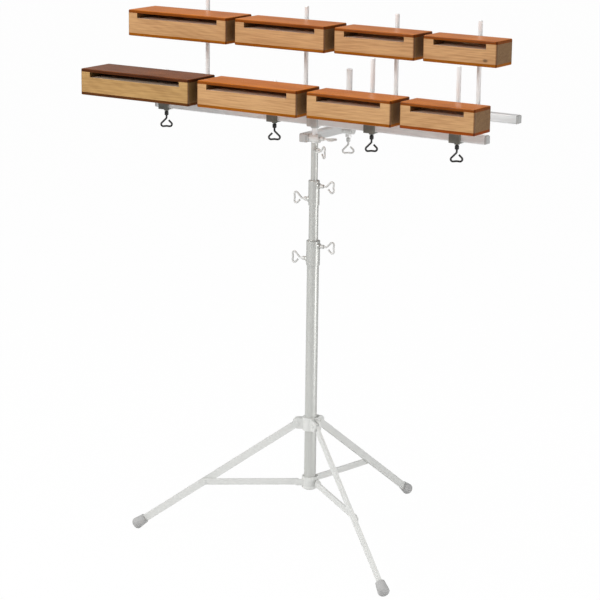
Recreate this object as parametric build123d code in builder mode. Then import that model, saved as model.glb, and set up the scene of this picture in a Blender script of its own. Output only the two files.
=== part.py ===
"""Eight graduated woodblocks in two rows, on rails carried by a folding tripod stand.

Millimetres, +Z up. The origin is on the floor, in the middle of the object's box: the two
rows are centred on X = 0, the players' side is -Y and the pole stands a little to the right.
"""
import os
from math import cos, hypot, radians, sin, tan

from build123d import *

# Woodblocks, one value for each column from the longest block to the shortest
lower_lengths = (312, 272, 219, 186)
upper_lengths = (285, 248, 211, 186)
block_depths = (108, 98, 84, 74)
block_heights = (62, 61, 59, 58)
block_gap = 16
block_corner_radius = 4
plate_thickness = 7
plate_edge_radius = 2.5
slot_height = 12
slot_end_wall = 27
slot_back_wall = 24

# Clearances
running_clearance = 0.05
slide_clearance = 0.3
tip_clearance = 0.3
socket_clearance = 0.1
screw_clearance = 0.1
side_clearance = 1

# Wire keys, the hand screws that clamp every sliding piece
clamp_wall = 7
key_stem_radius = 3
key_hub_gap = 2
key_hub_radius = 4.75
key_hub_length = 9.5
key_wire_radius = 2.2
key_neck = 7
key_hub_round = 1.5
key_loop_width = 30
key_loop_bend = 45
key_loop_dent = 6
key_bend_radius = 5
key_end_gap = 0.6
key_loop_bearing = 33

# Rods and the holders behind the blocks
rod_radius = 5
rod_standoff = 21
rod_socket_depth = 4
rod_tip_chamfer = 1
short_rod_rise = 81
long_rod_rise = 155
upper_rod_rise = 213
holder_width = 24
holder_height = 36
holder_rise = 3
holder_round = 6
flange_width = 44
flange_height = 40
flange_thickness = 5

# Rails, saddles and the beam that joins the two rails
rail_length = 884
rail_size = 20
rail_wall = 2
rail_edge_radius = 2
front_rail_height = 1003
back_rail_rise = 26
row_spacing = 147
lower_block_rise = 22
upper_block_rise = 124
saddle_width = 28
saddle_cheek = 5
saddle_floor = 3
saddle_boss_wall = 3
saddle_edge_radius = 2
cap_flange = 4
cap_plug = 12
cap_taper = 20
beam_drop = 41
beam_overhang = 14
beam_web = 5
post_radius = 7
post_rise = 76
post_tip_chamfer = 1.5
head_post_depth = 60

# Pole
pole_offset = 56
base_tube_radius = 14
mid_tube_radius = 11
top_tube_radius = 8
base_tube_wall = 2
mid_tube_wall = 2
top_tube_wall = 1.5
base_tube_bottom = 122
base_plug = 5
mid_tube_show = 141
mid_tube_length = 480
top_tube_show = 87.7
top_tube_length = 425
collar_wall = 2
collar_height = 58
collar_edge_radius = 1
collar_boss_radius = 7
upper_screw_drop = 12
lower_screw_drop = 45
swivel_screw_margin = 1
swivel_screw_bearing = -31

# Tripod
left_leg_bearing = 206
leg_count = 3
foot_circle_radius = 413
foot_height = 14
boot_length = 33
boot_overhang = 13
boot_mouth_radius = 11
boot_end_radius = 14.5
boot_round = 9
pivot_circle_radius = 30
upper_hub_height = 283
upper_hub_length = 32
hub_wall = 5
ear_thickness = 5
ear_radius = 13
leg_pin_radius = 4
leg_width = 17
leg_thickness = 6
lower_hub_height = 139
lower_hub_length = 28
brace_reach = 0.58
brace_width = 15
brace_thickness = 4
brace_pin_radius = 3
rivet_head_radius = 4.5
rivet_head_height = 1.5

# Places worked out from the sizes above
full_turn = 360
front_bearing = left_leg_bearing + full_turn / leg_count
back_bearing = front_bearing + full_turn / leg_count
pole_x = pole_offset
pole_y = -foot_circle_radius * (sin(radians(front_bearing)) + sin(radians(back_bearing))) / 2
front_row_y = pole_y
back_row_y = pole_y + row_spacing
back_rail_height = front_rail_height + back_rail_rise
saddle_rise = rail_size / 2 + clamp_wall
saddle_drop = rail_size / 2 + saddle_floor
saddle_depth = rail_size + 2 * saddle_cheek
key_reach = clamp_wall - tip_clearance + key_hub_gap
holder_reach = rod_standoff + rod_radius + clamp_wall
beam_x = pole_x - post_radius - beam_web - rail_size / 2
beam_height = front_rail_height - beam_drop
beam_bottom = beam_height - rail_size / 2
post_bottom = beam_bottom - clamp_wall
head_post_radius = top_tube_radius - top_tube_wall - running_clearance
top_tube_top = beam_bottom - slide_clearance
mid_tube_top = top_tube_top - top_tube_show
base_tube_top = mid_tube_top - mid_tube_show
brace_offset = leg_thickness / 2 + side_clearance + brace_thickness / 2
lug_offset = brace_offset + brace_thickness / 2 + slide_clearance + ear_thickness / 2
ear_offset = leg_thickness / 2 + slide_clearance + ear_thickness / 2

os.makedirs("parts", exist_ok=True)


def save(builder, name):
    """Labels a finished piece and writes it under its node's name."""
    builder.part.label = name
    export_step(builder.part, f"parts/{name}.step")


def row_centres(lengths):
    """X of each block's middle in a row that is centred on X = 0."""
    left = -(sum(lengths) + block_gap * (len(lengths) - 1)) / 2
    centres = []
    for length in lengths:
        centres.append(left + length / 2)
        left += length + block_gap
    return centres


def bearing_vector(bearing):
    """Level unit vector along a bearing, which is measured from +X towards +Y."""
    return Vector(cos(radians(bearing)), sin(radians(bearing)), 0)


def key_seat(point, direction, across):
    """Plane of a wire key that presses on point, points out along direction and bends to across."""
    return Plane(origin=point, x_dir=across, z_dir=direction).offset(tip_clearance)


# One wire key along +Z from its tip: stem, hub and a wire bent into a heart-shaped loop
key_neck_top = key_reach + key_hub_length + key_neck
corner_slope = radians(key_loop_bend + key_loop_dent) / 2
corner_half_angle = radians(key_loop_bend - key_loop_dent) / 2
key_corner_inset = key_bend_radius * (cos(corner_slope) / sin(corner_half_angle) - 1)
key_corner = key_loop_width / 2 - key_wire_radius + key_corner_inset
key_loop_top = key_neck_top + key_corner / tan(radians(key_loop_bend))
key_dent_depth = key_corner * tan(radians(key_loop_dent))
key_end = key_end_gap + 2 * key_wire_radius
with BuildPart() as wire_key:
    with BuildSketch():
        Circle(key_stem_radius)
    extrude(amount=key_reach)
    with BuildSketch(Plane.XY.offset(key_reach)):
        Circle(key_hub_radius)
    extrude(amount=key_hub_length)
    hub_rims = wire_key.edges().filter_by(GeomType.CIRCLE).sort_by(SortBy.RADIUS)[-2:]
    fillet(hub_rims, key_hub_round)
    with BuildLine(Plane.XZ) as bend:
        FilletPolyline(
            (0, key_reach + key_hub_length - key_wire_radius),
            (0, key_neck_top),
            (key_corner, key_loop_top),
            (0, key_loop_top - key_dent_depth),
            (-key_corner, key_loop_top),
            (-key_end, key_neck_top + key_end / tan(radians(key_loop_bend))),
            radius=key_bend_radius,
        )
    with BuildSketch(Plane(origin=bend.line @ 0, z_dir=bend.line % 0)):
        Circle(key_wire_radius)
    sweep(path=bend.line)


def build_keys(name, seats):
    """Writes one node of wire keys, one on each seat."""
    with BuildPart() as keys:
        with Locations(*[seat.location for seat in seats]):
            add(wire_key.part)
    save(keys, name)


# Woodblocks with their plates, holders and clamp screws
def build_block(name, length, depth, height, x, row_y, bottom):
    """Writes the body, plates, holder and screw of one block whose rod is at (x, row_y)."""
    back_y = row_y - rod_standoff
    base = Plane(origin=(x, back_y - depth / 2, bottom))
    body_top = height - plate_thickness

    with BuildPart() as body:
        with BuildSketch(base.offset(plate_thickness)):
            RectangleRounded(length, depth, block_corner_radius)
        extrude(amount=body_top - plate_thickness)
        with BuildSketch(base.offset(body_top)):
            with Locations((0, -slot_back_wall / 2)):
                Rectangle(length - 2 * slot_end_wall, depth - slot_back_wall)
        extrude(amount=-slot_height, mode=Mode.SUBTRACT)
    save(body, f"{name}_body")

    with BuildPart() as plates:
        for level in (0, body_top):
            with BuildSketch(base.offset(level)):
                RectangleRounded(length, depth, block_corner_radius)
        extrude(amount=plate_thickness)
        rims = plates.edges().group_by(Axis.Z)
        fillet(rims[0] + rims[-1], plate_edge_radius)
    save(plates, f"{name}_plates")

    middle = bottom + height / 2 + holder_rise
    rear_y = back_y + holder_reach
    with BuildPart() as holder:
        with BuildSketch(Plane(origin=(x, back_y, middle), x_dir=(1, 0, 0), z_dir=(0, 1, 0))):
            RectangleRounded(flange_width, flange_height, block_corner_radius)
        extrude(amount=flange_thickness)
        with BuildSketch(Plane(origin=(x, back_y, middle - holder_height / 2))):
            with Locations((0, holder_reach / 2)):
                Rectangle(holder_width, holder_reach)
        extrude(amount=holder_height)
        uprights = holder.edges().filter_by(Axis.Z).group_by(Axis.Y)[-1]
        fillet(uprights, holder_round)
        with BuildSketch(Plane(origin=(x, row_y, middle - holder_height / 2))):
            Circle(rod_radius + running_clearance)
        extrude(amount=holder_height, mode=Mode.SUBTRACT)
        with BuildSketch(Plane(origin=(x, row_y, middle), z_dir=(0, 1, 0))):
            Circle(key_stem_radius + running_clearance)
        extrude(amount=rear_y - row_y, mode=Mode.SUBTRACT)
    save(holder, f"{name}_holder")

    rod_back = (x, row_y + rod_radius, middle)
    build_keys(f"{name}_screw", [key_seat(rod_back, (0, 1, 0), (1, 0, 0))])


lower_centres = row_centres(lower_lengths)
upper_centres = row_centres(upper_lengths)
for column, (depth, height) in enumerate(zip(block_depths, block_heights)):
    build_block(
        f"lower_block_{column + 1}", lower_lengths[column], depth, height,
        lower_centres[column], front_row_y, front_rail_height + lower_block_rise,
    )
    build_block(
        f"upper_block_{column + 1}", upper_lengths[column], depth, height,
        upper_centres[column], back_row_y, back_rail_height + upper_block_rise,
    )


# Rails and beam: square tubes with plugged ends
def square_tube(start, length):
    """Adds one square tube to the part being built, from the plane start along its normal."""
    with BuildSketch(start) as section:
        RectangleRounded(rail_size, rail_size, rail_edge_radius)
        Rectangle(rail_size - 2 * rail_wall, rail_size - 2 * rail_wall, mode=Mode.SUBTRACT)
    extrude(section.sketch, amount=length)


def end_cap(face):
    """Adds one end cap to the part being built, on the plane face that points out of a tube."""
    with BuildSketch(face) as flange:
        RectangleRounded(rail_size, rail_size, rail_edge_radius)
    extrude(flange.sketch, amount=cap_flange, taper=cap_taper)
    with BuildSketch(face) as plug:
        Rectangle(rail_size - 2 * rail_wall, rail_size - 2 * rail_wall)
    extrude(plug.sketch, amount=-cap_plug)


beam_front = pole_y - beam_overhang
beam_length = row_spacing + 2 * beam_overhang
rail_left = pole_x - rail_length / 2
front_rail_start = Plane(origin=(rail_left, front_row_y, front_rail_height), z_dir=(1, 0, 0))
back_rail_start = Plane(origin=(rail_left, back_row_y, back_rail_height), z_dir=(1, 0, 0))
beam_start = Plane(origin=(beam_x, beam_front, beam_height), z_dir=(0, 1, 0))

with BuildPart() as front_rail:
    square_tube(front_rail_start, rail_length)
save(front_rail, "front_rail")

with BuildPart() as back_rail:
    square_tube(back_rail_start, rail_length)
save(back_rail, "back_rail")

with BuildPart() as cross_beam:
    square_tube(beam_start, beam_length)
save(cross_beam, "cross_beam")

with BuildPart() as rail_end_caps:
    for start, length in (
        (front_rail_start, rail_length),
        (back_rail_start, rail_length),
        (beam_start, beam_length),
    ):
        end_cap(start.offset(length))
        end_cap(Plane(origin=start.origin, x_dir=start.x_dir, z_dir=-start.z_dir))
save(rail_end_caps, "rail_end_caps")

# Saddles around the rails, the rods that stand on them and the keys below
rod_places = []
for column, x in enumerate(lower_centres):
    rise = short_rod_rise if column < len(lower_centres) / 2 else long_rod_rise
    rod_places.append((x, front_row_y, front_rail_height, rise))
for x in upper_centres:
    rod_places.append((x, back_row_y, back_rail_height, upper_rod_rise))


def saddle(x, y, level, hole_radius):
    """Adds one saddle around a rail to the part being built, with a bossed hole in its floor."""
    with BuildSketch(Plane(origin=(x, y, level - saddle_drop))) as plan:
        RectangleRounded(saddle_width, saddle_depth, saddle_edge_radius)
    extrude(plan.sketch, amount=saddle_drop + saddle_rise)
    under = Plane(origin=(x, y, level - saddle_rise))
    with BuildSketch(under) as boss:
        Circle(hole_radius + saddle_boss_wall)
    extrude(boss.sketch, amount=saddle_rise - saddle_drop)
    with BuildSketch(Plane(origin=(x - saddle_width / 2, y, level), z_dir=(1, 0, 0))) as way:
        RectangleRounded(rail_size, rail_size, rail_edge_radius)
    extrude(way.sketch, amount=saddle_width, mode=Mode.SUBTRACT)
    with BuildSketch(under) as hole:
        Circle(hole_radius)
    extrude(hole.sketch, amount=clamp_wall, mode=Mode.SUBTRACT)


def socket(x, y, level):
    """Cuts the round socket on top of a saddle that holds a rod."""
    with BuildSketch(Plane(origin=(x, y, level + saddle_rise))) as mouth:
        Circle(rod_radius + socket_clearance)
    extrude(mouth.sketch, amount=-rod_socket_depth, mode=Mode.SUBTRACT)


def round_bar(x, y, bottom, top, radius):
    """Adds one upright round bar to the part being built."""
    with BuildSketch(Plane(origin=(x, y, bottom))) as section:
        Circle(radius)
    extrude(section.sketch, amount=top - bottom)


with BuildPart() as rail_saddles:
    for x, y, level, rise in rod_places:
        saddle(x, y, level, key_stem_radius + screw_clearance)
        socket(x, y, level)
    saddle(pole_x, back_row_y, back_rail_height, post_radius + socket_clearance)
    socket(pole_x, back_row_y, back_rail_height)
    saddle(pole_x, front_row_y, front_rail_height, head_post_radius + socket_clearance)
save(rail_saddles, "rail_saddles")

with BuildPart() as block_rods:
    for x, y, level, rise in rod_places:
        round_bar(x, y, level + saddle_rise - rod_socket_depth, level + rise, rod_radius)
    ends = block_rods.faces().filter_by(Axis.Z)
    tips = ends.filter_by(lambda face: face.normal_at().Z > 0)
    chamfer(tips.edges(), rod_tip_chamfer)
save(block_rods, "block_rods")

# Posts: one from the pole into the front rail, one below the back rail and a free stub above it
with BuildPart() as rail_posts:
    stub_foot = back_rail_height + saddle_rise
    round_bar(pole_x, back_row_y, stub_foot - rod_socket_depth, stub_foot, rod_radius)
    round_bar(pole_x, back_row_y, stub_foot, back_rail_height + post_rise, post_radius)
    chamfer(rail_posts.faces().sort_by(Axis.Z)[-1].edges(), post_tip_chamfer)
    round_bar(pole_x, back_row_y, post_bottom, back_rail_height - rail_size / 2, post_radius)
    with BuildSketch(Plane(origin=(pole_x, back_row_y, post_bottom))):
        Circle(key_stem_radius + screw_clearance)
    extrude(amount=clamp_wall, mode=Mode.SUBTRACT)
    head_post_bottom = top_tube_top - head_post_depth
    round_bar(pole_x, pole_y, head_post_bottom, front_rail_height - rail_size / 2, head_post_radius)
save(rail_posts, "rail_posts")

loop_side = bearing_vector(key_loop_bearing)
front_key_seats = []
back_key_seats = []
for column, (x, y, level, rise) in enumerate(rod_places):
    seats = front_key_seats if y == front_row_y else back_key_seats
    side = loop_side if column == 1 else -loop_side
    seats.append(key_seat((x, y, level - rail_size / 2), (0, 0, -1), side))
back_key_seats.append(key_seat((pole_x, back_row_y, beam_bottom), (0, 0, -1), -loop_side))
build_keys("front_rail_keys", front_key_seats)
build_keys("back_rail_keys", back_key_seats)


# Clamps on the beam's right side, one around the pole's head post and one around the back post
def beam_clamp(y, radius):
    """Adds one round clamp from the beam's side to past a post, bored for that post."""
    beam_side = beam_x + rail_size / 2
    with BuildSketch(Plane(origin=(beam_side, y, beam_height), z_dir=(1, 0, 0))) as body:
        Circle(rail_size / 2)
    extrude(body.sketch, amount=pole_x + radius + clamp_wall - beam_side)
    with BuildSketch(Plane(origin=(pole_x, y, beam_bottom))) as way:
        Circle(radius + socket_clearance)
    extrude(way.sketch, amount=rail_size, mode=Mode.SUBTRACT)


with BuildPart() as beam_clamps:
    beam_clamp(pole_y, head_post_radius)
    with BuildSketch(Plane(origin=(pole_x, pole_y, beam_height), z_dir=(1, 0, 0))):
        Circle(key_stem_radius + running_clearance)
    extrude(amount=head_post_radius + clamp_wall, mode=Mode.SUBTRACT)
    beam_clamp(back_row_y, post_radius)
save(beam_clamps, "beam_clamps")

beam_screw_foot = (pole_x + head_post_radius, pole_y, beam_height)
build_keys("beam_screw", [key_seat(beam_screw_foot, (1, 0, 0), (0, 1, 0))])


# Telescopic pole: each outer tube ends in a collar with two clamp screws
def collar_screw_seats(inner_radius, top):
    """Planes of the two keys of a collar, the upper one to the right and the lower to the left."""
    return [
        key_seat((pole_x + inner_radius, pole_y, top - upper_screw_drop), (1, 0, 0), (0, 0, 1)),
        key_seat((pole_x - inner_radius, pole_y, top - lower_screw_drop), (-1, 0, 0), (0, 0, 1)),
    ]


def screw_boss(height, direction, inner_radius):
    """Adds one tapped boss to the tube being built, for a key that presses on what is inside."""
    across = Plane(origin=(pole_x, pole_y, height), z_dir=direction)
    with BuildSketch(across) as boss:
        Circle(collar_boss_radius)
    extrude(boss.sketch, amount=inner_radius + clamp_wall)
    with BuildSketch(across) as tapping:
        Circle(key_stem_radius + screw_clearance)
    extrude(tapping.sketch, amount=inner_radius + clamp_wall, mode=Mode.SUBTRACT)


def outer_tube(radius, wall, bottom, top, inner_radius):
    """Adds one tube with its collar to the part being built, bored for the tube inside it."""
    collar = Plane(origin=(pole_x, pole_y, top - collar_height))
    with BuildSketch(Plane(origin=(pole_x, pole_y, bottom))) as section:
        Circle(radius)
    extrude(section.sketch, amount=top - bottom)
    with BuildSketch(collar) as ring:
        Circle(radius + collar_wall)
    extrude(ring.sketch, amount=collar_height)
    rims = edges().filter_by(GeomType.CIRCLE).sort_by(SortBy.RADIUS)[-2:]
    fillet(rims, collar_edge_radius)
    screw_boss(top - upper_screw_drop, (1, 0, 0), inner_radius)
    screw_boss(top - lower_screw_drop, (-1, 0, 0), inner_radius)
    with BuildSketch(collar) as guide:
        Circle(inner_radius + slide_clearance)
    extrude(guide.sketch, amount=collar_height, mode=Mode.SUBTRACT)
    with BuildSketch(collar) as hollow:
        Circle(radius - wall)
    extrude(hollow.sketch, amount=bottom - collar.origin.Z, mode=Mode.SUBTRACT)


with BuildPart() as base_tube:
    outer_tube(base_tube_radius, base_tube_wall, base_tube_bottom, base_tube_top, mid_tube_radius)
    with BuildSketch(Plane(origin=(pole_x, pole_y, base_tube_bottom))):
        Circle(base_tube_radius - base_tube_wall)
    extrude(amount=base_plug)
save(base_tube, "base_tube")

with BuildPart() as mid_tube:
    outer_tube(
        mid_tube_radius, mid_tube_wall, mid_tube_top - mid_tube_length, mid_tube_top, top_tube_radius
    )
save(mid_tube, "mid_tube")

swivel_screw_height = top_tube_top - key_loop_width / 2 - swivel_screw_margin
swivel_screw_side = bearing_vector(swivel_screw_bearing)
with BuildPart() as top_tube:
    top_tube_foot = Plane(origin=(pole_x, pole_y, top_tube_top - top_tube_length))
    with BuildSketch(top_tube_foot):
        Circle(top_tube_radius)
    extrude(amount=top_tube_length)
    screw_boss(swivel_screw_height, swivel_screw_side, head_post_radius)
    with BuildSketch(top_tube_foot):
        Circle(top_tube_radius - top_tube_wall)
    extrude(amount=top_tube_length, mode=Mode.SUBTRACT)
save(top_tube, "top_tube")

swivel_screw_foot = Vector(pole_x, pole_y, swivel_screw_height) + swivel_screw_side * head_post_radius
build_keys("swivel_screw", [key_seat(swivel_screw_foot, swivel_screw_side, (0, 0, 1))])
build_keys("base_collar_screws", collar_screw_seats(mid_tube_radius, base_tube_top))
build_keys("mid_collar_screws", collar_screw_seats(top_tube_radius, mid_tube_top))


# Tripod: two hubs on the base tube, three legs with feet and three braces
def radial_plane(bearing, height, offset=0.0):
    """Upright plane through the pole along a bearing, moved sideways by offset."""
    outward = bearing_vector(bearing)
    sideways = Vector(0, 0, 1).cross(outward)
    return Plane(origin=(pole_x, pole_y, height), x_dir=outward, z_dir=sideways).offset(offset)


def leg_plane(bearing):
    """Plane of a leg: origin on its pivot, X down along the leg, normal along the pivot."""
    upright = radial_plane(bearing, upper_hub_height)
    pivot = upright.from_local_coords((pivot_circle_radius, 0, 0))
    foot = Vector(pole_x, pole_y, foot_height) + bearing_vector(bearing) * foot_circle_radius
    return Plane(origin=pivot, x_dir=foot - pivot, z_dir=upright.z_dir)


def leg_bar(bearing, mode=Mode.ADD):
    """Adds or cuts the flat bar of one leg in the part being built."""
    with BuildSketch(leg_plane(bearing)) as side:
        with Locations((leg_length / 2, 0)):
            Rectangle(leg_length, leg_width)
        Circle(leg_width / 2)
        Circle(leg_pin_radius + running_clearance, mode=Mode.SUBTRACT)
    extrude(side.sketch, amount=leg_thickness / 2, both=True, mode=mode)


def lug(bearing, height, offset, radius):
    """Adds one upright lug with a round end to the hub being built."""
    with BuildSketch(radial_plane(bearing, height, offset)) as side:
        with Locations((pivot_circle_radius / 2, 0)):
            Rectangle(pivot_circle_radius, 2 * radius)
        with Locations((pivot_circle_radius, 0)):
            Circle(radius)
    extrude(side.sketch, amount=ear_thickness / 2, both=True)


def sleeve(height, length):
    """Adds the round sleeve of a hub to the part being built."""
    with BuildSketch(Plane(origin=(pole_x, pole_y, height - length / 2))) as ring:
        Circle(base_tube_radius + hub_wall)
    extrude(ring.sketch, amount=length)


def bore(height, length, clearance):
    """Cuts the base tube's way through the hub being built."""
    with BuildSketch(Plane(origin=(pole_x, pole_y, height - length / 2))) as way:
        Circle(base_tube_radius + clearance)
    extrude(way.sketch, amount=length, mode=Mode.SUBTRACT)


leg_length = hypot(foot_circle_radius - pivot_circle_radius, upper_hub_height - foot_height)
brace_end_x = pivot_circle_radius + brace_reach * (foot_circle_radius - pivot_circle_radius)
brace_end_z = upper_hub_height - brace_reach * (upper_hub_height - foot_height)
brace_length = hypot(brace_end_x - pivot_circle_radius, brace_end_z - lower_hub_height)
boot_end = leg_length + boot_overhang
boot_start = boot_end - boot_length
bearings = {"left": left_leg_bearing, "front": front_bearing, "back": back_bearing}

with BuildPart() as upper_hub:
    sleeve(upper_hub_height, upper_hub_length)
    for bearing in bearings.values():
        lug(bearing, upper_hub_height, ear_offset, ear_radius)
        lug(bearing, upper_hub_height, -ear_offset, ear_radius)
        with BuildSketch(radial_plane(bearing, upper_hub_height)):
            with Locations((pivot_circle_radius, 0)):
                Circle(leg_pin_radius)
        extrude(amount=ear_offset + ear_thickness / 2 + rivet_head_height, both=True)
    bore(upper_hub_height, upper_hub_length, running_clearance)
save(upper_hub, "upper_hub")

with BuildPart() as lower_hub:
    sleeve(lower_hub_height, lower_hub_length)
    for bearing in bearings.values():
        lug(bearing, lower_hub_height, lug_offset, brace_width / 2)
        pin_start = brace_offset - brace_thickness / 2
        with BuildSketch(radial_plane(bearing, lower_hub_height, pin_start)):
            with Locations((pivot_circle_radius, 0)):
                Circle(brace_pin_radius)
        extrude(amount=lug_offset - pin_start)
    bore(lower_hub_height, lower_hub_length, slide_clearance)
save(lower_hub, "lower_hub")

for name, bearing in bearings.items():
    with BuildPart() as leg:
        leg_bar(bearing)
    save(leg, f"{name}_leg")

    along_leg = leg_plane(bearing)
    with BuildPart() as foot:
        with BuildSketch(along_leg) as profile:
            with BuildLine():
                Polyline(
                    (boot_start, 0),
                    (boot_start, boot_mouth_radius),
                    (boot_end, boot_end_radius),
                    (boot_end, 0),
                    close=True,
                )
            make_face()
            fillet(profile.vertices().group_by(Axis.X)[-1].sort_by(Axis.Y)[-1], boot_round)
        revolve(axis=Axis(along_leg.origin, along_leg.x_dir))
        split(bisect_by=Plane.XY, keep=Keep.TOP)
        leg_bar(bearing, mode=Mode.SUBTRACT)
    save(foot, f"{name}_foot")

    upright = radial_plane(bearing, lower_hub_height, brace_offset)
    brace_start = upright.from_local_coords((pivot_circle_radius, 0, 0))
    brace_end = upright.from_local_coords((brace_end_x, lower_hub_height - brace_end_z, 0))
    brace_plane = Plane(origin=brace_start, x_dir=brace_end - brace_start, z_dir=upright.z_dir)
    with BuildPart() as brace:
        with BuildSketch(brace_plane):
            with Locations((brace_length / 2, 0)):
                SlotCenterToCenter(brace_length, brace_width)
            Circle(brace_pin_radius + running_clearance, mode=Mode.SUBTRACT)
        extrude(amount=brace_thickness / 2, both=True)
        with BuildSketch(brace_plane.offset(brace_thickness / 2)):
            with Locations((brace_length, 0)):
                Circle(rivet_head_radius)
        extrude(amount=rivet_head_height)
    save(brace, f"{name}_brace")
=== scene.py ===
"""Looks of a set of eight woodblocks on a tripod stand: finishes, small fasteners, studio and camera.

Metres, in the part's own frame: +Z up, the floor at Z = 0, the player's side at -Y.
"""

import logging
import math
from dataclasses import dataclass
from enum import Enum
from typing import Any, Optional, Union

import bmesh
import bpy
from mathutils import Matrix, Vector


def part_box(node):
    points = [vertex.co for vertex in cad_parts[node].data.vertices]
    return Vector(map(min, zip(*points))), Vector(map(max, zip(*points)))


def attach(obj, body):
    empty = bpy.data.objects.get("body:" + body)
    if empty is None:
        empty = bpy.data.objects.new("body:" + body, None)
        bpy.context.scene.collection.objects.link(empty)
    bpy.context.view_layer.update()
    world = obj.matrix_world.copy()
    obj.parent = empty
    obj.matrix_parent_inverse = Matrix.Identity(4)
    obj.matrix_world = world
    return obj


log = logging.getLogger("woodblocks")
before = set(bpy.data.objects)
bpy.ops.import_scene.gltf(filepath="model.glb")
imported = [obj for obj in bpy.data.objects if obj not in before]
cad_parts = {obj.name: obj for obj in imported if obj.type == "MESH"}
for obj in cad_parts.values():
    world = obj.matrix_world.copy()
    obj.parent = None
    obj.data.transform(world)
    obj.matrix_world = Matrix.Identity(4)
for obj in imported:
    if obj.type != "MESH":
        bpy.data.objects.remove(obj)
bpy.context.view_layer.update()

Colour = tuple[float, float, float]
Point = tuple[float, float, float]
Range = tuple[float, float]
Loop = list[bmesh.types.BMVert]
MM = 0.001
WHITE: Colour = (1.0, 1.0, 1.0)


class Tier(Enum):
    """The two rows of blocks."""

    LOWER = "lower"
    UPPER = "upper"


class LegSide(Enum):
    """The three legs of the stand."""

    LEFT = "left"
    FRONT = "front"
    BACK = "back"


class Axis(Enum):
    """The axes of the part's frame."""

    X = "X"
    Y = "Y"
    Z = "Z"


class Blend(Enum):
    """How two colours are combined."""

    MIX = "MIX"
    MULTIPLY = "MULTIPLY"


def srgb(red: int, green: int, blue: int) -> Colour:
    """Turns an 8-bit display colour into a linear one.

    Args:
        red: Red, 0 to 255.
        green: Green, 0 to 255.
        blue: Blue, 0 to 255.

    Returns:
        The linear red, green and blue.
    """

    def linear(value: int) -> float:
        """Turns one channel into its linear value."""
        share = value / 255
        return share / 12.92 if share <= 0.04045 else ((share + 0.055) / 1.055) ** 2.4

    return linear(red), linear(green), linear(blue)


def shaded(colour: Colour, share: float) -> Colour:
    """Gives a darker colour: each channel times the share."""
    red, green, blue = colour
    return red * share, green * share, blue * share


BEECH = (srgb(206, 160, 108), srgb(168, 120, 72))
YELLOW_BEECH = (srgb(190, 150, 92), srgb(154, 114, 62))
BARE_BEECH = srgb(226, 208, 188)
RED_WOOD = (srgb(204, 116, 16), srgb(158, 80, 8))
DARK_RED_WOOD = (srgb(128, 72, 30), srgb(86, 42, 12))
# Painted shade on the sides of the hardwood plates: dark for the upper plate, golden or russet for the
# lower one.
DARK_EDGE_SHADE: Colour = (0.42, 0.36, 0.30)
GOLDEN_EDGE_SHADE: Colour = (0.62, 0.66, 0.34)
RUSSET_EDGE_SHADE: Colour = (0.52, 0.36, 0.26)


class Signal:
    """A socket that varies over a surface, with arithmetic that adds Math nodes."""

    def __init__(self, graph: "Graph", socket: Optional[bpy.types.NodeSocket]) -> None:
        """Keeps the graph and the socket that the signal leaves from."""
        self.graph = graph
        self.socket = socket

    def _math(self, operation: str, first: "Operand", second: "Operand") -> "Signal":
        """Adds one Math node.

        Args:
            operation: The node's operation.
            first: Its first value.
            second: Its second value.

        Returns:
            The node's result.
        """
        return self.graph.node("ShaderNodeMath", {"operation": operation}, {0: first, 1: second})

    def __add__(self, other: "Operand") -> "Signal":
        """Adds."""
        return self._math("ADD", self, other)

    __radd__ = __add__

    def __sub__(self, other: "Operand") -> "Signal":
        """Subtracts."""
        return self._math("SUBTRACT", self, other)

    def __rsub__(self, other: "Operand") -> "Signal":
        """Subtracts this from a number."""
        return self._math("SUBTRACT", other, self)

    def __mul__(self, other: "Operand") -> "Signal":
        """Multiplies."""
        return self._math("MULTIPLY", self, other)

    __rmul__ = __mul__

    def __gt__(self, other: "Operand") -> "Signal":
        """Gives 1 where this is the larger, else 0."""
        return self._math("GREATER_THAN", self, other)

    def sine(self) -> "Signal":
        """Gives the sine."""
        return self._math("SINE", self, 0.0)

    def size(self) -> "Signal":
        """Drops the sign."""
        return self._math("ABSOLUTE", self, 0.0)


Operand = Union[Signal, float]
SocketValue = Union[Signal, float, Colour]


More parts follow.
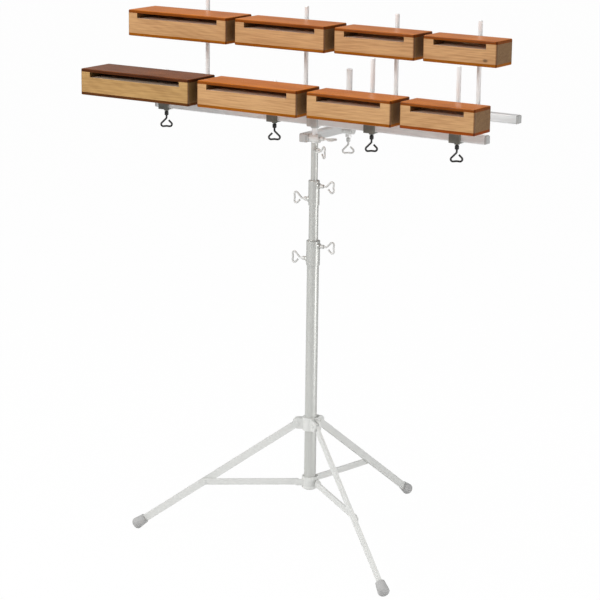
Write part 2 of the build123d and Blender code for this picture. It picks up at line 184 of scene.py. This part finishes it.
class Graph:
    """The node tree of one material or of the world."""

    def __init__(self, tree: bpy.types.NodeTree) -> None:
        """Empties the tree."""
        self.tree = tree
        tree.nodes.clear()

    def node(
        self,
        kind: str,
        settings: Optional[dict[str, Any]] = None,
        inputs: Optional[dict[Union[int, str], SocketValue]] = None,
        output: Union[int, str] = 0,
    ) -> Signal:
        """Adds any node.

        Args:
            kind: The node's type.
            settings: The node's own settings, set before its sockets.
            inputs: Values or links by the socket's name or number.
            output: The socket that the result leaves from.

        Returns:
            The chosen output.
        """
        made = self.tree.nodes.new(kind)
        for name, value in (settings or {}).items():
            setattr(made, name, value)
        for name, value in (inputs or {}).items():
            socket = made.inputs[name]
            if isinstance(value, Signal):
                self.tree.links.new(value.socket, socket)
            elif socket.type == "RGBA":
                socket.default_value = (*value, 1.0)
            else:
                socket.default_value = value
        return Signal(self, made.outputs[output] if made.outputs else None)

    def place(self) -> Signal:
        """Gives the point on the surface, in the part's frame at rest."""
        return self.node("ShaderNodeTexCoord", output="Object")

    def part(self, vector: Signal, axis: Axis) -> Signal:
        """Gives one coordinate of a vector."""
        return self.node("ShaderNodeSeparateXYZ", {}, {"Vector": vector}, axis.value)

    def length(self, vector: Signal) -> Signal:
        """Gives the length of a vector."""
        return self.node("ShaderNodeVectorMath", {"operation": "LENGTH"}, {0: vector}, "Value")

    def facing(self, axis: Axis, least: float = 0.72) -> Signal:
        """Gives 1 where the surface faces along an axis, either way, else 0.

        Args:
            axis: The axis.
            least: The share of the normal that has to lie along the axis.

        Returns:
            1 or 0.
        """
        normal = self.node("ShaderNodeTexCoord", output="Normal")
        return self.part(normal, axis).size() > least

    def stretched(self, place: Signal, scale: Point, shift: Point = (0.0, 0.0, 0.0)) -> Signal:
        """Scales and shifts a point.

        Args:
            place: The point.
            scale: Scale along each axis.
            shift: Shift along each axis, after scaling.

        Returns:
            The new point.
        """
        return self.node("ShaderNodeMapping", {}, {"Vector": place, "Scale": scale, "Location": shift})

    def noise(self, place: Signal, scale: float, detail: float = 4.0, roughness: float = 0.55) -> Signal:
        """Gives fractal noise, about 0 to 1.

        Args:
            place: Where it is read.
            scale: Its scale.
            detail: Its octaves.
            roughness: How strong the finer octaves are.

        Returns:
            The noise's value.
        """
        inputs = {"Vector": place, "Scale": scale, "Detail": detail, "Roughness": roughness}
        return self.node("ShaderNodeTexNoise", {}, inputs, "Fac")

    def between(self, value: Signal, low: float, high: float) -> Signal:
        """Maps low to high onto 0 to 1, smoothly.

        Args:
            value: The value that varies.
            low: Where the result is 0.
            high: Where the result is 1.

        Returns:
            The mapped value.
        """
        settings = {"interpolation_type": "SMOOTHSTEP"}
        inputs = {"Value": value, "From Min": low, "From Max": high}
        return self.node("ShaderNodeMapRange", settings, inputs, "Result")

    def mix(
        self, factor: SocketValue, first: SocketValue, second: SocketValue, blend: Blend = Blend.MIX
    ) -> Signal:
        """Combines two colours.

        Args:
            factor: Share of the second colour.
            first: The first colour.
            second: The second colour.
            blend: How they combine.

        Returns:
            The combined colour.
        """
        first_colour, second_colour, mixed_colour = 6, 7, 2
        settings = {"data_type": "RGBA", "blend_type": blend.value}
        inputs = {0: factor, first_colour: first, second_colour: second}
        return self.node("ShaderNodeMix", settings, inputs, mixed_colour)

    def multiply_where(self, mask: SocketValue, colour: SocketValue, tint: SocketValue) -> Signal:
        """Multiplies a colour by a tint where a mask is 1: painted shade on the wood, mottling on the
        enamel.

        Args:
            mask: Where the tint shows.
            colour: The colour below.
            tint: The tint.

        Returns:
            The tinted colour.
        """
        return self.mix(mask, colour, self.mix(1.0, colour, tint, Blend.MULTIPLY))

    def bump(self, height: Signal, distance: float, strength: float) -> Signal:
        """Turns a height into a normal.

        Args:
            height: The height, about 0 to 1.
            distance: What a height of 1 stands for, in metres.
            strength: Share of the effect.

        Returns:
            The normal.
        """
        inputs = {"Height": height, "Distance": distance, "Strength": strength}
        return self.node("ShaderNodeBump", {}, inputs, "Normal")

    def surface(self, inputs: dict[Union[int, str], SocketValue]) -> None:
        """Ends a material in one Principled BSDF with these sockets set."""
        shader = self.node("ShaderNodeBsdfPrincipled", {}, inputs, "BSDF")
        self.node("ShaderNodeOutputMaterial", {}, {"Surface": shader})


def new_graph(name: str) -> tuple[bpy.types.Material, Graph]:
    """Makes an empty material.

    Args:
        name: The material's name.

    Returns:
        The material and its graph.
    """
    material = bpy.data.materials.new(name)
    material.use_nodes = True
    return material, Graph(material.node_tree)


def dress_node(name: str, material: bpy.types.Material) -> None:
    """Gives one CAD node its finish.

    Args:
        name: The CAD node.
        material: Its finish.
    """
    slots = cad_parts[name].data.materials
    slots.clear()
    slots.append(material)
    log.info("dressed %s in %s", name, material.name)


@dataclass(frozen=True)
class Timber:
    """Varnished solid wood with faint rings, streaks, short ray flecks and an optional knot, and painted
    shade on its ends, rounded corners and board sides.
    """

    name: str
    light: Colour
    dark: Colour
    heart: Point
    gloss: float = 0.42
    uneven: float = 0.16
    coat: float = 0.15
    coat_roughness: float = 0.22
    shine: float = 0.4
    grain_depth: float = 0.12 * MM
    grain_strength: float = 0.35
    streak_relief: float = 0.6
    fleck_relief: float = 0.4
    seed_spread: Point = (7.0, 13.0, 5.0)
    ring_pitch: float = 5.5 * MM
    ring_stretch: Point = (0.12, 1.0, 1.0)
    ring_drift: float = 9.0
    drift_scale: Point = (5.0, 26.0, 26.0)
    streak_scale: Point = (12.0, 380.0, 380.0)
    cloud_scale: Point = (7.0, 18.0, 18.0)
    ring_share: float = 0.05
    streak_share: float = 0.64
    cloud_share: float = 0.36
    tone_range: Range = (0.34, 0.74)
    pore_scale: Point = (70.0, 900.0, 900.0)
    pore_range: Range = (0.60, 0.74)
    fleck: float = 0.35
    fleck_shade: float = 0.55
    # Tint for the faces along X: a little end grain, mostly painted shade on the block's ends.
    end_grain_and_shade: Colour = (0.40, 0.39, 0.35)
    # Painted shade on the rounded upright corners of the blocks.
    corner_shade: Colour = (0.5, 0.42, 0.34)
    corner_least: float = 0.25
    bare: Optional[Colour] = None
    bare_streaks: float = 0.3
    # Painted shade on the sides of the plates, one tint above the split height and one below.
    edge_shade: Optional[Colour] = None
    lower_edge_shade: Optional[Colour] = None
    split_height: float = 0.0
    knot: Optional[Point] = None
    knot_radius: float = 4.5 * MM
    knot_stretch: float = 0.6
    knot_range: Range = (0.4, 1.3)
    knot_rag: float = 0.8 * MM
    knot_rag_scale: float = 900.0
    knot_share: float = 0.8
    knot_shade: float = 0.24

    def material(self) -> bpy.types.Material:
        """Builds the wood's material.

        Returns:
            The new material.
        """
        material, graph = new_graph(self.name)
        place = graph.place()
        streaks = self._noise(graph, place, self.streak_scale, 5.0, 0.6)
        pores = self._noise(graph, place, self.pore_scale, 3.0, 0.7)
        flecks = graph.between(pores, *self.pore_range) * self.fleck
        colour = graph.mix(self._tone(graph, place, streaks), self.light, self.dark)
        colour = graph.mix(flecks, colour, shaded(self.dark, self.fleck_shade))
        # Painted shade: the ends, facing along X, are darkened, only partly by their end grain.
        colour = graph.multiply_where(graph.facing(Axis.X), colour, self.end_grain_and_shade)
        # Painted shade: faces turned partly along X and partly along Y, the rounded corners, are
        # darkened.
        corner_shade = graph.facing(Axis.X, self.corner_least) * graph.facing(Axis.Y, self.corner_least)
        colour = graph.multiply_where(corner_shade, colour, self.corner_shade)
        if self.bare is not None:
            sawn = graph.mix(streaks * self.bare_streaks, self.bare, self.dark)
            colour = graph.mix(graph.facing(Axis.Z), colour, sawn)
        # Painted shade on the sides of the plates.
        if self.edge_shade is not None:
            colour = self._add_edge_shade(graph, place, colour)
        if self.knot is not None:
            colour = self._add_knot(graph, place, colour)
        relief = streaks * self.streak_relief + (1.0 - flecks) * self.fleck_relief
        smoothest = self.gloss - self.uneven / 2
        graph.surface({
            "Base Color": colour,
            "Roughness": graph.between(streaks, 0.0, 1.0) * self.uneven + smoothest,
            "Specular IOR Level": self.shine,
            "Coat Weight": self.coat,
            "Coat Roughness": self.coat_roughness,
            "Normal": graph.bump(relief, self.grain_depth, self.grain_strength),
        })
        return material

    def _noise(
        self, graph: Graph, place: Signal, scale: Point, detail: float, roughness: float = 0.55
    ) -> Signal:
        """Gives noise stretched along the board, different for each board.

        Args:
            graph: The material's graph.
            place: The point on the surface.
            scale: Scale along each axis.
            detail: The noise's octaves.
            roughness: How strong the finer octaves are.

        Returns:
            The noise's value.
        """
        seed = tuple(value * spread for value, spread in zip(self.heart, self.seed_spread))
        return graph.noise(graph.stretched(place, scale, seed), 1.0, detail, roughness)

    def _tone(self, graph: Graph, place: Signal, streaks: Signal) -> Signal:
        """Joins growth rings, streaks and cloudy patches.

        Args:
            graph: The material's graph.
            place: The point on the surface.
            streaks: The streaks along the board.

        Returns:
            0 where the wood is light to 1 where it is dark.
        """
        offset = tuple(-value for value in self.heart)
        radius = graph.length(graph.stretched(place, self.ring_stretch, offset))
        drift = self._noise(graph, place, self.drift_scale, 2.0)
        turns = radius * (2 * math.pi / self.ring_pitch) + drift * self.ring_drift
        rings = turns.sine() * 0.5 + 0.5
        cloud = self._noise(graph, place, self.cloud_scale, 3.0)
        tone = rings * self.ring_share + streaks * self.streak_share + cloud * self.cloud_share
        return graph.between(tone, *self.tone_range)

    def _add_edge_shade(self, graph: Graph, place: Signal, colour: Signal) -> Signal:
        """Paints shade on the sides of the boards, the lower board in its own tint of painted shade.

        Args:
            graph: The material's graph.
            place: The point on the surface.
            colour: The wood's colour.

        Returns:
            The colour with the stained sides.
        """
        above = graph.part(place, Axis.Z) > self.split_height
        shade = graph.mix(above, self.lower_edge_shade, self.edge_shade)
        return graph.multiply_where(1.0 - graph.facing(Axis.Z), colour, shade)

    def _add_knot(self, graph: Graph, place: Signal, colour: Signal) -> Signal:
        """Darkens a small knot, longer along the board.

        Args:
            graph: The material's graph.
            place: The point on the surface.
            colour: The wood's colour.

        Returns:
            The colour with the knot.
        """
        across, deep, up = self.knot
        squeeze = (self.knot_stretch, 1.0, 1.0)
        centred = graph.stretched(place, squeeze, (-self.knot_stretch * across, -deep, -up))
        ragged = graph.length(centred) + graph.noise(place, self.knot_rag_scale) * self.knot_rag
        core, rim = (share * self.knot_radius for share in self.knot_range)
        heart = 1.0 - graph.between(ragged, core, rim)
        return graph.mix(heart * self.knot_share, colour, shaded(self.dark, self.knot_shade))


@dataclass(frozen=True)
class Enamel:
    """Painted, cast or moulded surface with faint mottling, fine grain and rubbed patches.

    With a pale colour, pieces behind one depth or near one place across take that colour instead.
    """

    name: str
    colour: Colour
    roughness: float = 0.45
    metallic: float = 0.0
    mottle: float = 0.08
    mottle_gain: float = 2.2
    cloud_scale: float = 38.0
    cloud_range: Range = (0.3, 0.7)
    grain: float = 420.0
    relief: float = 0.03 * MM
    relief_strength: float = 0.15
    rub_scale: float = 60.0
    rub_range: Range = (0.56, 0.72)
    rub_share: float = 0.5
    rub_lift: float = 0.06
    rub_polish: float = 0.02
    uneven: float = 0.06
    pale_colour: Optional[Colour] = None
    pale_behind: float = 0.0
    pale_beside: float = 0.056
    pale_reach: float = 30 * MM

    def material(self) -> bpy.types.Material:
        """Builds the enamel's material.

        Returns:
            The new material.
        """
        material, graph = new_graph(self.name)
        place = graph.place()
        cloud = graph.noise(place, self.cloud_scale)
        grain = graph.noise(place, self.grain, 1.0)
        rubbed = graph.between(graph.noise(place, self.rub_scale, 2.0, 0.5), *self.rub_range)
        base: SocketValue = self.colour
        if self.pale_colour is not None:
            behind = graph.part(place, Axis.Y) > self.pale_behind
            away = (graph.part(place, Axis.X) - self.pale_beside).size() > self.pale_reach
            base = graph.mix((behind + (1.0 - away)) > 0.5, self.colour, self.pale_colour)
        mottling = shaded(WHITE, 1.0 - self.mottle_gain * self.mottle)
        colour = graph.multiply_where(graph.between(cloud, *self.cloud_range), base, mottling)
        lifted = graph.mix(self.rub_lift, colour, WHITE)
        roughness = cloud * self.uneven + grain * self.uneven - rubbed * self.rub_polish
        graph.surface({
            "Base Color": graph.mix(rubbed * self.rub_share, colour, lifted),
            "Metallic": self.metallic,
            "Roughness": roughness + (self.roughness - self.uneven),
            "Normal": graph.bump(grain, self.relief, self.relief_strength),
        })
        return material


@dataclass(frozen=True)
class DrawnSteel:
    """Bright drawn tube or bar, with fine lines along its length and dull patches."""

    name: str
    colour: Colour
    roughness: float = 0.3
    metallic: float = 0.75
    along: Point = (420.0, 420.0, 6.0)
    dull_scale: float = 22.0
    dull_shade: float = 0.86
    dull_range: Range = (0.5, 0.8)
    dull_share: float = 0.4
    line_range: Range = (0.35, 0.75)
    line_share: float = 0.6
    line_depth: float = 0.006 * MM
    line_strength: float = 0.2
    uneven: float = 0.05

    def material(self) -> bpy.types.Material:
        """Builds the steel's material.

        Returns:
            The new material.
        """
        material, graph = new_graph(self.name)
        place = graph.place()
        lines = graph.noise(graph.stretched(place, self.along), 1.0, 4.0, 0.6)
        dull = graph.noise(place, self.dull_scale)
        darker = shaded(self.colour, self.dull_shade)
        colour = graph.mix(graph.between(lines, *self.line_range) * self.line_share, self.colour, darker)
        colour = graph.mix(graph.between(dull, *self.dull_range) * self.dull_share, colour, darker)
        graph.surface({
            "Base Color": colour,
            "Metallic": self.metallic,
            "Roughness": lines * self.uneven + dull * self.uneven + (self.roughness - self.uneven),
            "Normal": graph.bump(lines, self.line_depth, self.line_strength),
        })
        return material


@dataclass
class Woodblock:
    """One block: beech body, two hardwood plates, rod holder and its clamp screw."""

    tier: Tier
    number: int
    body: Timber
    plates: Timber
    holder: bpy.types.Material
    screw: bpy.types.Material
    flange_thickness: float = 5.0 * MM
    screw_inset: float = 6.0 * MM
    screw_head_radius: float = 3.2 * MM
    screw_head_rise: float = 1.1 * MM
    head_profile: tuple[Range, ...] = ((1.0, 0.0), (1.0, 0.5), (0.93, 0.82), (0.72, 1.0))
    slot_width: float = 0.9 * MM
    arc_steps: int = 12

    @property
    def name(self) -> str:
        """The block's body name."""
        return f"{self.tier.value}_block_{self.number}"

    def build(self) -> None:
        """Adds the four slotted screws that hold the rod holder's flange to the wood."""
        low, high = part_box(f"{self.name}_holder")
        face_y = low[1] + self.flange_thickness
        mesh = bpy.data.meshes.new(f"{self.name}_flange_screws")
        shape = bmesh.new()
        for x in (low[0] + self.screw_inset, high[0] - self.screw_inset):
            for z in (low[2] + self.screw_inset, high[2] - self.screw_inset):
                self._add_screw_head(shape, Vector((x, face_y, z)))
        bmesh.ops.recalc_face_normals(shape, faces=shape.faces)
        shape.to_mesh(mesh)
        shape.free()
        piece = bpy.data.objects.new(mesh.name, mesh)
        bpy.context.scene.collection.objects.link(piece)
        mesh.materials.append(self.holder)
        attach(piece, self.name)
        log.info("built %s", piece.name)

    def _add_screw_head(self, shape: bmesh.types.BMesh, centre: Vector) -> None:
        """Adds one screw head with a straight slot across it, as a closed shell.

        Args:
            shape: The mesh being built.
            centre: The middle of the head's foot, on the flange.
        """
        upper = self._add_half_head(shape, centre, 1)
        lower = self._add_half_head(shape, centre, -1)
        foot, floor = 0, 1
        shape.faces.new(upper[foot] + lower[foot][::-1])
        shape.faces.new((upper[floor][0], lower[floor][0], lower[floor][-1], upper[floor][-1]))
        for end in (0, -1):
            shape.faces.new((upper[foot][end], lower[foot][end], lower[floor][end], upper[floor][end]))

    def _add_half_head(self, shape: bmesh.types.BMesh, centre: Vector, side: int) -> list[Loop]:
        """Adds the half of a screw head on one side of its slot, open at the foot.

        Args:
            shape: The mesh being built.
            centre: The middle of the head's foot.
            side: 1 for the half above the slot, -1 for the half below it.

        Returns:
            The arcs of the half, from the foot up. The slot's floor is level with the second.
        """
        loops: list[Loop] = []
        for spread, rise in self.head_profile:
            radius = self.screw_head_radius * spread
            start = math.asin(self.slot_width / 2 / radius)
            step = (math.pi - 2 * start) / self.arc_steps
            loop: Loop = []
            for index in range(self.arc_steps + 1):
                across = radius * math.cos(start + step * index)
                up = side * radius * math.sin(start + step * index)
                loop.append(shape.verts.new(centre + Vector((across, self.screw_head_rise * rise, up))))
            loops.append(loop)
        for outer, inner in zip(loops, loops[1:]):
            for index in range(self.arc_steps):
                shape.faces.new((outer[index], outer[index + 1], inner[index + 1], inner[index]))
        shape.faces.new(loops[-1])
        raised = loops[1:]
        shape.faces.new([loop[0] for loop in raised] + [loop[-1] for loop in reversed(raised)])
        return loops

    def dress(self) -> None:
        """Gives the block's CAD nodes their finishes."""
        dress_node(f"{self.name}_body", self.body.material())
        dress_node(f"{self.name}_plates", self.plates.material())
        dress_node(f"{self.name}_holder", self.holder)
        dress_node(f"{self.name}_screw", self.screw)


@dataclass
class BlockSet:
    """The eight blocks, each with its own boards.

    The drops and leads, in millimetres, put the middle of each board's growth rings.
    """

    holder: bpy.types.Material
    screw: bpy.types.Material
    row_length: int = 4
    body_drop: int = 60
    body_drop_step: int = 17
    upper_row_drop: int = 35
    body_lead: int = 30
    body_lead_step: int = 16
    plate_drop: float = 40 * MM
    plate_lead: float = 12 * MM
    knot_from_end: float = 28 * MM
    knot_rise: float = 7 * MM

    def build(self) -> None:
        """Builds and dresses the blocks, the lower row first."""
        for tier in Tier:
            for number in range(1, self.row_length + 1):
                block = self._block(tier, number)
                block.build()
                block.dress()

    @staticmethod
    def _heart(node: str, drop: float, lead: float) -> Point:
        """Puts the middle of a board's growth rings outside the board.

        Args:
            node: The CAD node of the board.
            drop: How far the middle lies below the board.
            lead: How far it lies in front of the board's middle.

        Returns:
            The middle of the rings, in the part's frame.
        """
        low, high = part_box(node)
        return ((low[0] + high[0]) / 2, (low[1] + high[1]) / 2 - lead, low[2] - drop)

    def _block(self, tier: Tier, number: int) -> Woodblock:
        """Makes one block and chooses its boards.

        Args:
            tier: The block's row.
            number: Its place in the row, from the longest.

        Returns:
            The block.
        """
        name = f"{tier.value}_block_{number}"
        last = number == self.row_length
        longest = tier is Tier.LOWER and number == 1
        low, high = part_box(f"{name}_body")
        row_drop = self.upper_row_drop if tier is Tier.UPPER else 0
        drop = (self.body_drop + self.body_drop_step * number + row_drop) * MM
        lead = (self.body_lead - self.body_lead_step * number) * MM
        knot = (high[0] - self.knot_from_end, low[1], low[2] + self.knot_rise)
        light, dark = YELLOW_BEECH if longest else BEECH
        body = Timber(
            name=f"beech_{name}",
            light=light,
            dark=dark,
            heart=self._heart(f"{name}_body", drop, lead),
            bare=BARE_BEECH,
            knot=knot if last and tier is Tier.UPPER else None,
        )
        plate_light, plate_dark = DARK_RED_WOOD if longest else RED_WOOD
        plates = Timber(
            name=f"red_wood_{name}",
            light=plate_light,
            dark=plate_dark,
            heart=self._heart(f"{name}_plates", drop + self.plate_drop, self.plate_lead),
            fleck=0.3,
            gloss=0.3,
            coat=0.0,
            shine=0.14,
            ring_pitch=9 * MM,
            # The plates' ends get no painted end shade; their sides carry painted shade.
            end_grain_and_shade=WHITE,
            edge_shade=DARK_EDGE_SHADE,
            lower_edge_shade=RUSSET_EDGE_SHADE if last and tier is Tier.LOWER else GOLDEN_EDGE_SHADE,
            split_height=(low[2] + high[2]) / 2,
        )
        return Woodblock(tier, number, body, plates, self.holder, self.screw)


@dataclass
class Rack:
    """Rails, beam, saddles, rods, posts and the keys under the rails."""

    rail: bpy.types.Material
    beam: bpy.types.Material
    cap: bpy.types.Material
    saddle: bpy.types.Material
    rod: bpy.types.Material
    clamp: bpy.types.Material
    front_key: bpy.types.Material
    back_key: bpy.types.Material

    def dress(self) -> None:
        """Gives the rack's CAD nodes their finishes."""
        dress_node("front_rail", self.rail)
        dress_node("back_rail", self.rail)
        dress_node("cross_beam", self.beam)
        dress_node("rail_end_caps", self.cap)
        dress_node("rail_saddles", self.saddle)
        dress_node("block_rods", self.rod)
        dress_node("rail_posts", self.rod)
        dress_node("front_rail_keys", self.front_key)
        dress_node("back_rail_keys", self.back_key)
        dress_node("beam_clamps", self.clamp)
        dress_node("beam_screw", self.back_key)


@dataclass
class Pole:
    """Three telescopic tubes, their collars' screws and the swivel screw at the head."""

    tube: bpy.types.Material
    screw: bpy.types.Material

    def dress(self) -> None:
        """Gives the pole's CAD nodes their finishes."""
        for node in ("base_tube", "mid_tube", "top_tube"):
            dress_node(node, self.tube)
        for node in ("base_collar_screws", "mid_collar_screws", "swivel_screw"):
            dress_node(node, self.screw)


@dataclass
class Tripod:
    """Two hubs, three legs with rubber boots and three braces."""

    hub: bpy.types.Material
    leg: bpy.types.Material
    rubber: bpy.types.Material

    def dress(self) -> None:
        """Gives the tripod's CAD nodes their finishes."""
        dress_node("upper_hub", self.hub)
        dress_node("lower_hub", self.hub)
        for side in LegSide:
            dress_node(f"{side.value}_leg", self.leg)
            dress_node(f"{side.value}_brace", self.leg)
            dress_node(f"{side.value}_foot", self.rubber)


@dataclass(frozen=True)
class Lamp:
    """One square lamp."""

    name: str
    place: Point
    size: float
    power: float

    def build(self, aim_height: float) -> None:
        """Hangs the lamp, pointed at the pole and never upwards.

        Args:
            aim_height: The height that it points at, unless the lamp hangs lower.
        """
        data = bpy.data.lights.new(self.name, "AREA")
        data.size = self.size
        data.energy = self.power
        lamp = bpy.data.objects.new(self.name, data)
        place = Vector(self.place)
        aim = Vector((0.0, 0.0, min(aim_height, place.z))) - place
        lamp.matrix_world = Matrix.Translation(place) @ aim.to_track_quat("-Z", "Y").to_matrix().to_4x4()
        bpy.context.scene.collection.objects.link(lamp)


@dataclass
class Studio:
    """Pale floor, soft lamps, white surroundings and the camera."""

    camera_place: Point = (2.7533, -4.3509, 1.8144)
    camera_yaw: float = 32.667
    camera_pitch: float = 13.747
    camera_roll: float = 0.750
    camera_lens: float = 134.008
    camera_reach: float = 50.0
    sensor: float = 36.0
    floor_half: float = 30.0
    floor_light: Colour = (0.88, 0.88, 0.88)
    floor_dark: Colour = (0.82, 0.82, 0.82)
    floor_mottle: float = 0.1
    floor_glow: float = 0.98
    ambient: float = 0.34
    aim_height: float = 0.9
    lamps: tuple[Lamp, ...] = (
        Lamp("key_lamp", (-1.9, -4.2, 2.9), 1.2, 132.0),
        Lamp("top_lamp", (-0.4, -0.4, 3.8), 2.0, 62.0),
        Lamp("fill_lamp", (3.4, -1.6, 1.6), 2.4, 8.0),
        Lamp("low_lamp", (2.0, 0.1, 0.3), 0.8, 12.0),
    )

    def build(self) -> None:
        """Adds the floor, lamps, world and camera."""
        self._add_floor()
        for lamp in self.lamps:
            lamp.build(self.aim_height)
        self._set_world()
        self._add_camera()
        bpy.context.scene.view_settings.view_transform = "Standard"

    def _add_floor(self) -> None:
        """Adds the floor, which shows near white and keeps a trace of the object's soft shadow."""
        mesh = bpy.data.meshes.new("floor")
        half = self.floor_half
        corners = [(-half, -half, 0), (half, -half, 0), (half, half, 0), (-half, half, 0)]
        mesh.from_pydata(corners, [], [(0, 1, 2, 3)])
        floor = bpy.data.objects.new("floor", mesh)
        bpy.context.scene.collection.objects.link(floor)
        material, graph = new_graph("floor_white")
        mottle = graph.noise(graph.place(), 3.0, 3.0)
        tone = graph.mix(mottle * self.floor_mottle, self.floor_light, self.floor_dark)
        matt = graph.node("ShaderNodeBsdfDiffuse", {}, {"Color": tone}, "BSDF")
        glow = graph.node("ShaderNodeEmission", {}, {"Color": WHITE, "Strength": 1.0}, "Emission")
        seen = graph.node("ShaderNodeLightPath", output="Is Camera Ray")
        shown = graph.node("ShaderNodeMixShader", {}, {0: seen * self.floor_glow, 1: matt, 2: glow})
        graph.node("ShaderNodeOutputMaterial", {}, {"Surface": shown})
        mesh.materials.append(material)

    def _set_world(self) -> None:
        """Makes the surroundings white to the camera, and dimmer as light."""
        world = bpy.data.worlds.new("white_room")
        world.use_nodes = True
        bpy.context.scene.world = world
        graph = Graph(world.node_tree)
        white = graph.node("ShaderNodeBackground", {}, {"Color": WHITE, "Strength": 1.0})
        soft = graph.node("ShaderNodeBackground", {}, {"Color": WHITE, "Strength": self.ambient})
        camera = graph.node("ShaderNodeLightPath", output="Is Camera Ray")
        through = graph.node("ShaderNodeLightPath", output="Is Transmission Ray")
        mixed = graph.node("ShaderNodeMixShader", {}, {0: (camera + through) > 0.5, 1: soft, 2: white})
        graph.node("ShaderNodeOutputWorld", {}, {"Surface": mixed})

    def _add_camera(self) -> None:
        """Adds the camera where the photograph was taken from."""
        yaw = math.radians(self.camera_yaw)
        pitch = math.radians(self.camera_pitch)
        roll = math.radians(self.camera_roll)
        ahead = Vector((-math.sin(yaw), math.cos(yaw), 0.0))
        right = Vector((math.cos(yaw), math.sin(yaw), 0.0))
        up = Vector((0.0, 0.0, 1.0))
        view = math.cos(pitch) * ahead - math.sin(pitch) * up
        above = math.sin(pitch) * ahead + math.cos(pitch) * up
        turned_right = math.cos(roll) * right + math.sin(roll) * above
        turned_up = -math.sin(roll) * right + math.cos(roll) * above
        data = bpy.data.cameras.new("camera")
        data.sensor_width = self.sensor
        data.lens = self.camera_lens
        data.clip_end = self.camera_reach
        camera = bpy.data.objects.new("camera", data)
        axes = Matrix((turned_right, turned_up, -view)).transposed().to_4x4()
        camera.matrix_world = Matrix.Translation(self.camera_place) @ axes
        bpy.context.scene.collection.objects.link(camera)
        bpy.context.scene.camera = camera


def main() -> None:
    """Builds and dresses every sub-assembly in order, then the studio."""
    logging.basicConfig(level=logging.INFO, format="%(name)s: %(message)s")
    grey_cast = Enamel(
        "grey_cast", srgb(112, 114, 106), roughness=0.5, mottle=0.1, relief=0.05 * MM,
        pale_colour=srgb(200, 201, 198),
    ).material()
    holder_grey = Enamel("holder_grey", srgb(120, 122, 116), roughness=0.48).material()
    black_enamel = Enamel("black_enamel", srgb(14, 14, 13), roughness=0.42, mottle=0.12).material()
    pale_wire = Enamel("pale_wire", srgb(216, 216, 213), roughness=0.4, metallic=0.1).material()
    clamp_cast = Enamel("clamp_cast", srgb(216, 216, 213), roughness=0.5, mottle=0.03).material()
    hub_cast = Enamel("hub_cast", srgb(220, 221, 218), roughness=0.45, mottle=0.01).material()
    leg_enamel = Enamel("leg_enamel", srgb(220, 221, 218), roughness=0.42, mottle=0.01).material()
    cap_plastic = Enamel("cap_plastic", srgb(184, 184, 182), roughness=0.6, mottle=0.04).material()
    rubber = Enamel(
        "foot_rubber", srgb(180, 180, 179), roughness=0.75, mottle=0.06, relief=0.08 * MM
    ).material()
    tube_steel = DrawnSteel("tube_steel", srgb(202, 203, 199), roughness=0.36, metallic=0.4).material()
    rod_steel = DrawnSteel("rod_steel", srgb(248, 248, 247), roughness=0.3, metallic=0.1).material()
    rail_steel = DrawnSteel(
        "rail_steel", srgb(236, 238, 238), roughness=0.4, metallic=0.1, along=(6.0, 420.0, 420.0)
    ).material()
    beam_steel = DrawnSteel(
        "beam_steel", srgb(226, 227, 226), roughness=0.4, metallic=0.25, along=(420.0, 6.0, 420.0)
    ).material()

    BlockSet(holder_grey, black_enamel).build()
    Rack(
        rail=rail_steel, beam=beam_steel, cap=cap_plastic, saddle=grey_cast, rod=rod_steel,
        clamp=clamp_cast, front_key=black_enamel, back_key=pale_wire,
    ).dress()
    Pole(tube_steel, pale_wire).dress()
    Tripod(hub_cast, leg_enamel, rubber).dress()
    Studio().build()


if __name__ == "__main__":
    main()
